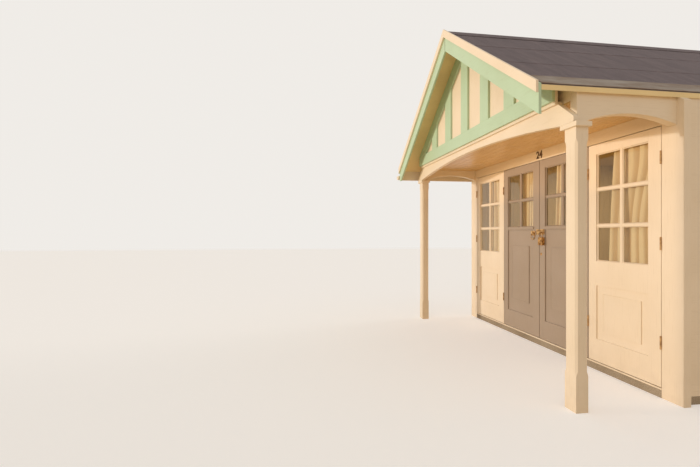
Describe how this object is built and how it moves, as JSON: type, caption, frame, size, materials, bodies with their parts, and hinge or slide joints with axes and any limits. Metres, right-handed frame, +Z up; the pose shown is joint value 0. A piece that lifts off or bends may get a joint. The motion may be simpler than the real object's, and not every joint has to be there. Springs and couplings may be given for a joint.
{
  "type": "beach hut",
  "caption": "Timber beach hut with a veranda on posts, an arched fascia, a mint gable under a felt roof, and glazed double doors between glazed side leaves.",
  "frame": {"origin": "on the level ground, at the middle of the underside of the room's base slab", "axes": "+X along the row to the right seen from the veranda, +Y from the veranda towards the back wall, +Z up"},
  "size_m": [3.6691, 3.63, 3.4496],
  "materials": {
    "white_paint": "satin paint on planed softwood, warm white",
    "mint_paint": "satin paint on planed softwood, pastel mint",
    "grey_blue_paint": "satin paint on planed softwood, pale grey blue",
    "soffit_paint": "satin paint on boards, cream",
    "roof_felt": "mineral felt strips, dark slate grey",
    "concrete": "cast concrete, wood-float finish",
    "floor_wood": "worn softwood boards",
    "brass": "tarnished brass, brown in the hollows",
    "gutter_plastic": "white extruded gutter",
    "lead": "dull grey sheet lead",
    "glass": "clear window glass",
    "curtain_cloth": "unlined cream cotton"
  },
  "bodies": {
    "hut": {"base_slab": "concrete", "floor_boards": "floor_wood", "door_sill": "white_paint", "end_post_left": "white_paint", "end_post_right": "white_paint", "door_head": "white_paint", "front_wall_gable": "white_paint", "side_wall_left": "white_paint", "party_wall_right": "white_paint", "back_wall": "white_paint", "front_post_left": "white_paint", "front_post_right": "white_paint", "post_caps": "white_paint", "front_fascia_arch": "white_paint", "fascia_cornice": "white_paint", "side_beam_left": "white_paint", "side_beam_right": "white_paint", "veranda_ceiling": "white_paint", "gable_backing": "white_paint", "gable_panel": "white_paint", "gable_bottom_rail": "mint_paint", "gable_rake_boards": "mint_paint", "gable_studs": "mint_paint", "roof_slope_left": "soffit_paint", "roof_slope_right": "soffit_paint", "roof_covering": "roof_felt", "ridge_strip": "roof_felt", "barge_boards": "mint_paint", "verge_strips": "white_paint", "back_barge_boards": "white_paint", "eaves_board_left": "white_paint", "gutter_left": "gutter_plastic", "gutter_brackets": "gutter_plastic", "valley_lining": "lead", "side_leaf_left": "white_paint", "side_leaf_right": "white_paint", "side_glass": "glass", "side_curtain_rods": "brass", "side_curtains": "curtain_cloth", "side_hinges": "brass", "fixed_hinge_halves": "brass"},
    "door_left": {"door_leaf_left": "grey_blue_paint", "door_glass_left": "glass", "door_hinges_left": "brass", "door_curtain_rod_left": "brass", "door_curtain_left": "curtain_cloth", "door_pull": "brass", "hasp_plate_left": "brass"},
    "door_right": {"door_leaf_right": "grey_blue_paint", "door_glass_right": "glass", "door_hinges_right": "brass", "door_curtain_rod_right": "brass", "door_curtain_right": "curtain_cloth", "door_hasp": "brass", "padlock": "brass"}
  },
  "joints": [
    {"name": "door_left_hinge", "type": "hinge", "parent": "hut", "child": "door_left", "pos_m": [-0.77675, -1.2263, 0], "axis": [0, 0, -1], "range_deg": [0, 170]},
    {"name": "door_right_hinge", "type": "hinge", "parent": "hut", "child": "door_right", "pos_m": [0.77675, -1.2263, 0], "axis": [0, 0, 1], "range_deg": [0, 170]}
  ]
}
